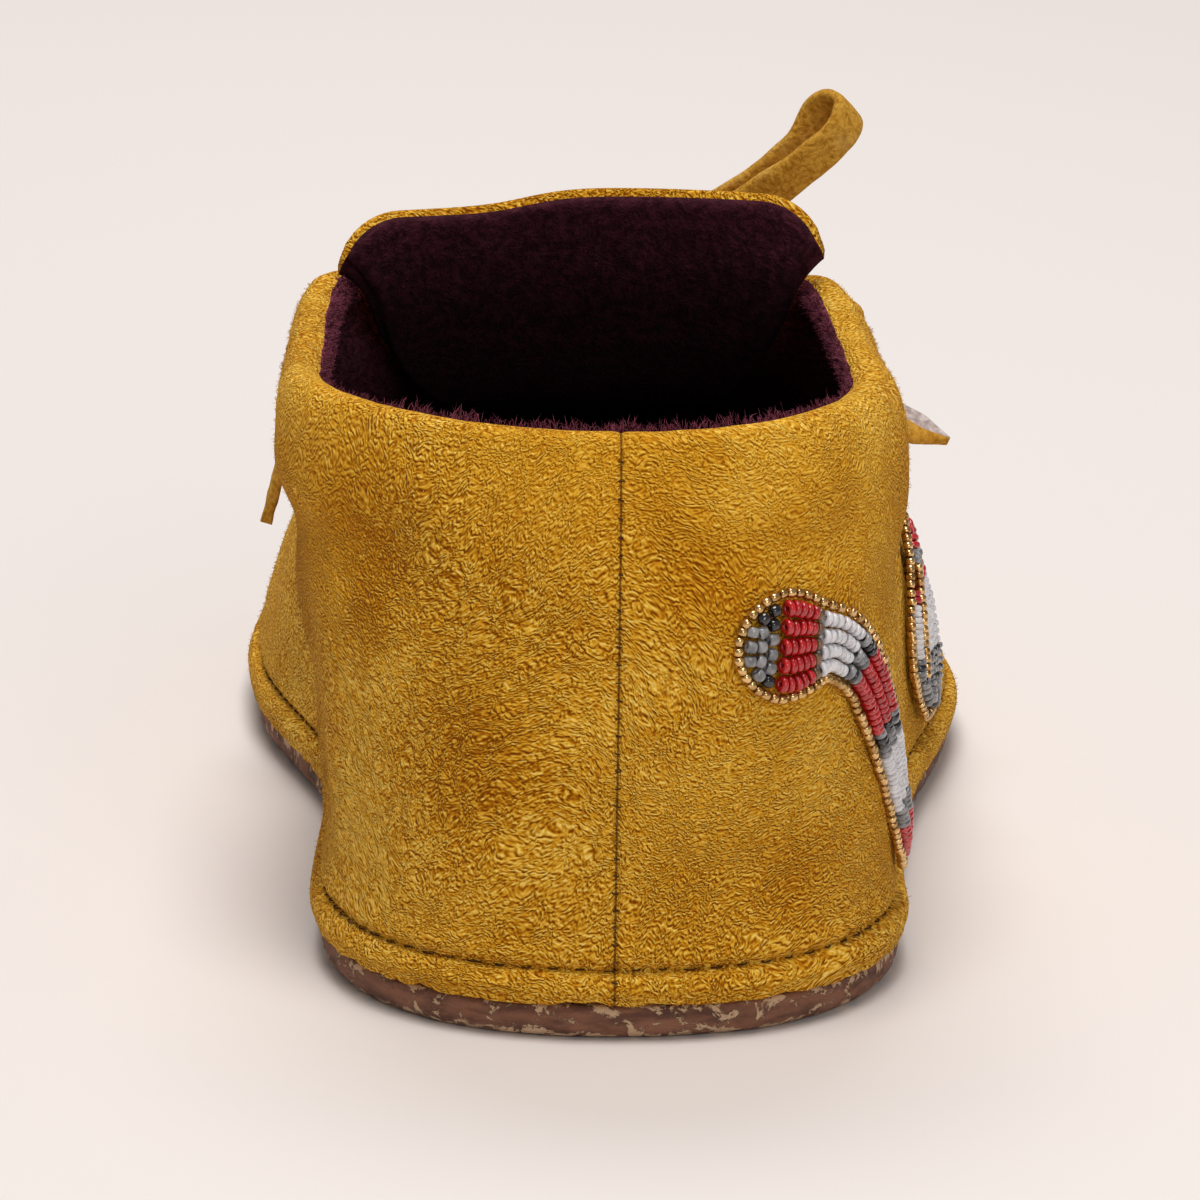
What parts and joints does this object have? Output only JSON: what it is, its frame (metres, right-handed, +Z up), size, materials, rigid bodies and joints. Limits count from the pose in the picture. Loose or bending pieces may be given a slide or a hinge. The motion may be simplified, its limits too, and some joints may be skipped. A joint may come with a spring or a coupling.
{
  "type": "beaded moccasin",
  "caption": "Low suede moccasin for the right foot, with a rolled collar, wool-lined tongue, thong bow, thin rubber sole and beaded leaves on the outer side.",
  "frame": {"origin": "on the floor, under the middle of the shoe's box", "axes": "+Y towards the toe, +X towards the outer side of the right foot, +Z up"},
  "size_m": [0.1126, 0.2664, 0.1105],
  "materials": {
    "suede": "brushed golden ochre suede",
    "tongue_suede": "suede with plum wool on the rear face",
    "thong": "suede thong",
    "sole_rubber": "matt brown, worn edge",
    "wool": "plum wool pile",
    "glass_beads": "opaque glass seed beads in bands of red, white, grey and black",
    "gold_beads": "small gold beads"
  },
  "bodies": {
    "root": {"upper": "suede", "outsole": "sole_rubber", "insole": "wool", "tongue": "tongue_suede", "bead_field_heel": "glass_beads", "bead_edge_heel": "gold_beads", "bead_field_side": "glass_beads", "bead_edge_side": "gold_beads", "lace_bar": "thong", "lace_knot": "thong", "lace_loop_outer": "thong", "lace_loop_inner": "thong", "lace_end_outer": "thong", "lace_end_inner": "thong"}
  },
  "joints": []
}
